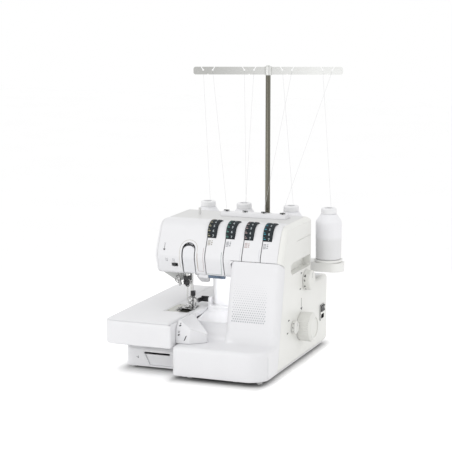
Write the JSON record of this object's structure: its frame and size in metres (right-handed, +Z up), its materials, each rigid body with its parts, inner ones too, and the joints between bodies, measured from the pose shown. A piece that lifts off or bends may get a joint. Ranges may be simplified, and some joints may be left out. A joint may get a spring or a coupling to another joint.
{
  "type": "overlock sewing machine",
  "caption": "Home overlock sewing machine with flat-bed table, tension dials, hinged looper cover and telescopic thread mast over cones.",
  "frame": {"origin": "on the table top, under the middle of the machine's bounding box", "axes": "+X to the right as seen by the person sewing, +Y to the back, +Z up"},
  "size_m": [0.416, 0.426, 0.6307],
  "materials": {
    "white_shell": "smooth, slightly glossy moulding",
    "white_base": "smooth moulding",
    "foot_rubber": "matte",
    "belt_rubber": "matte",
    "cast_frame": "grey casting paint",
    "bush_bronze": "turned",
    "bright_steel": "polished",
    "mast_chrome": "bright plated tube",
    "guide_steel": "pressed sheet",
    "black_metal": "blackened",
    "black_plastic": "fine grain",
    "grey_plastic": "moulded",
    "motor_paint": "grey",
    "lamp_glass": "clear blue lens",
    "thread_white": "wound thread",
    "core_white": "smooth"
  },
  "bodies": {
    "machine": {"base_pan": "white_base", "rubber_feet": "foot_rubber", "bed_frame": "cast_frame", "arm_frame": "cast_frame", "shaft_bushes": "bush_bronze", "head_front_cover": "white_shell", "face_cover": "white_shell", "top_cover": "white_shell", "right_cover": "white_shell", "rear_cover": "white_shell", "column_cover": "white_shell", "cloth_ledge": "white_shell", "free_arm": "white_shell", "needle_plate": "bright_steel", "lower_knife": "bright_steel", "thread_guide_rail": "white_shell", "guide_clips": "black_plastic", "tension_shaft": "bright_steel", "lamp_lens": "lamp_glass", "motor": "motor_paint", "drive_belt": "belt_rubber", "arm_belt": "belt_rubber", "power_inlet": "black_plastic", "mast_tube": "mast_chrome", "spool_stand": "white_base", "cone_seats": "white_base", "cone_cores": "core_white", "thread_cones": "thread_white"},
    "looper_cover": {"front_cover": "white_shell", "front_apron": "white_shell"},
    "table": {"extension_table": "white_shell"},
    "drive_shaft": {"main_shaft": "bright_steel", "hand_wheel": "white_base", "shaft_pulleys": "grey_plastic"},
    "motor_wheel": {"motor_pulley": "grey_plastic"},
    "arm_shaft": {"upper_shaft": "bright_steel"},
    "needle_unit": {"needle_bar": "bright_steel", "needle_clamp": "black_metal", "needles": "bright_steel"},
    "presser_unit": {"presser_bar": "bright_steel", "presser_foot": "bright_steel"},
    "lifter": {"foot_lifter": "white_base"},
    "knife": {"upper_knife": "black_metal"},
    "looper_upper": {"upper_looper": "bright_steel"},
    "looper_lower": {"lower_looper": "bright_steel"},
    "dog_front": {"front_feed_dog": "bright_steel"},
    "dog_rear": {"rear_feed_dog": "bright_steel"},
    "length_dial": {"stitch_length_dial": "white_base"},
    "feed_dial": {"differential_dial": "white_base"},
    "take_up": {"take_up_lever": "white_shell"},
    "threader": {"threader_lever": "bright_steel"},
    "switch_needle": {"needle_switch": "black_plastic"},
    "mast": {"mast_rod": "mast_chrome"},
    "thread_bar": {"guide_bar": "guide_steel"},
    "rocker": {"power_switch": "black_plastic"},
    "dial_1": {"tension_dial_1": "black_plastic"},
    "dial_2": {"tension_dial_2": "black_plastic"},
    "dial_3": {"tension_dial_3": "black_plastic"},
    "dial_4": {"tension_dial_4": "black_plastic"}
  },
  "joints": [
    {"name": "looper_cover_open", "type": "hinge", "parent": "machine", "child": "looper_cover", "pos_m": [0.05, -0.204, 0.013], "axis": [1, 0, 0], "range_deg": [0, 85]},
    {"name": "table_draw", "type": "slide", "parent": "machine", "child": "table", "axis": [-1, 0, 0], "range_m": [0, 0.16]},
    {"name": "hand_wheel_turn", "type": "hinge", "parent": "machine", "child": "drive_shaft", "pos_m": [0.16, 0.028, 0.079], "axis": [1, 0, 0], "continuous": true},
    {"name": "motor_turn", "type": "hinge", "parent": "machine", "child": "motor_wheel", "pos_m": [0.117, 0.13, 0.062], "axis": [1, 0, 0], "continuous": true},
    {"name": "arm_shaft_turn", "type": "hinge", "parent": "machine", "child": "arm_shaft", "pos_m": [0, -0.062, 0.232], "axis": [1, 0, 0], "continuous": true},
    {"name": "needle_stroke", "type": "slide", "parent": "machine", "child": "needle_unit", "axis": [0, 0, 1], "range_m": [-0.024, 0.002]},
    {"name": "lifter_raise", "type": "hinge", "parent": "machine", "child": "lifter", "pos_m": [-0.076, -0.008, 0.226], "axis": [1, 0, 0], "range_deg": [0, 10]},
    {"name": "foot_raise", "type": "slide", "parent": "machine", "child": "presser_unit", "axis": [0, 0, 1], "range_m": [0, 0.006]},
    {"name": "knife_fold", "type": "hinge", "parent": "machine", "child": "knife", "pos_m": [-0.05, -0.024, 0.134], "axis": [1, 0, 0], "range_deg": [-60, 0]},
    {"name": "upper_looper_swing", "type": "hinge", "parent": "machine", "child": "looper_upper", "pos_m": [0.014, -0.054, 0.062], "axis": [0, 1, 0], "range_deg": [-8, 8]},
    {"name": "lower_looper_swing", "type": "hinge", "parent": "machine", "child": "looper_lower", "pos_m": [-0.018, -0.076, 0.048], "axis": [0, 1, 0], "range_deg": [-8, 8]},
    {"name": "front_feed", "type": "slide", "parent": "machine", "child": "dog_front", "axis": [0, 1, 0], "range_m": [-0.0025, 0.0025]},
    {"name": "rear_feed", "type": "slide", "parent": "machine", "child": "dog_rear", "axis": [0, 1, 0], "range_m": [-0.0025, 0.0025]},
    {"name": "stitch_length_set", "type": "hinge", "parent": "machine", "child": "length_dial", "pos_m": [0.16, 0.058, 0.176], "axis": [1, 0, 0], "range_deg": [-60, 100]},
    {"name": "differential_set", "type": "hinge", "parent": "machine", "child": "feed_dial", "pos_m": [0.156, -0.024, 0.088], "axis": [1, 0, 0], "range_deg": [-60, 80]},
    {"name": "take_up_swing", "type": "hinge", "parent": "machine", "child": "take_up", "pos_m": [-0.062, -0.062, 0.27], "axis": [1, 0, 0], "range_deg": [-8, 0]},
    {"name": "threader_drop", "type": "slide", "parent": "machine", "child": "threader", "axis": [0, 0, 1], "range_m": [-0.018, 0]},
    {"name": "needle_switch_slide", "type": "slide", "parent": "machine", "child": "switch_needle", "axis": [1, 0, 0], "range_m": [-0.0025, 0.0025]},
    {"name": "mast_lower", "type": "slide", "parent": "machine", "child": "mast", "axis": [0, 0, 1], "range_m": [-0.25, 0]},
    {"name": "thread_bar_swivel", "type": "hinge", "parent": "mast", "child": "thread_bar", "pos_m": [0.028, 0.155, 0.615], "axis": [0, 0, 1], "range_deg": [-20, 70]},
    {"name": "power_rock", "type": "hinge", "parent": "machine", "child": "rocker", "pos_m": [0.151, 0.174, 0.089], "axis": [0, 1, 0], "range_deg": [-6, 6]},
    {"name": "tension_1_turn", "type": "hinge", "parent": "machine", "child": "dial_1", "pos_m": [-0.015, -0.0445, 0.284], "axis": [1, 0, 0], "range_deg": [-150, 150]},
    {"name": "tension_2_turn", "type": "hinge", "parent": "machine", "child": "dial_2", "pos_m": [0.0268, -0.0445, 0.284], "axis": [1, 0, 0], "range_deg": [-150, 150]},
    {"name": "tension_3_turn", "type": "hinge", "parent": "machine", "child": "dial_3", "pos_m": [0.0686, -0.0445, 0.284], "axis": [1, 0, 0], "range_deg": [-150, 150]},
    {"name": "tension_4_turn", "type": "hinge", "parent": "machine", "child": "dial_4", "pos_m": [0.1104, -0.0445, 0.284], "axis": [1, 0, 0], "range_deg": [-150, 150]}
  ],
  "couplings": [
    {"joint": "motor_turn", "follows": "hand_wheel_turn", "ratio": 3},
    {"joint": "arm_shaft_turn", "follows": "hand_wheel_turn", "ratio": 1},
    {"joint": "foot_raise", "follows": "lifter_raise", "m_per_rad": 0.0343},
    {"joint": "rear_feed", "follows": "front_feed", "ratio": 1}
  ]
}
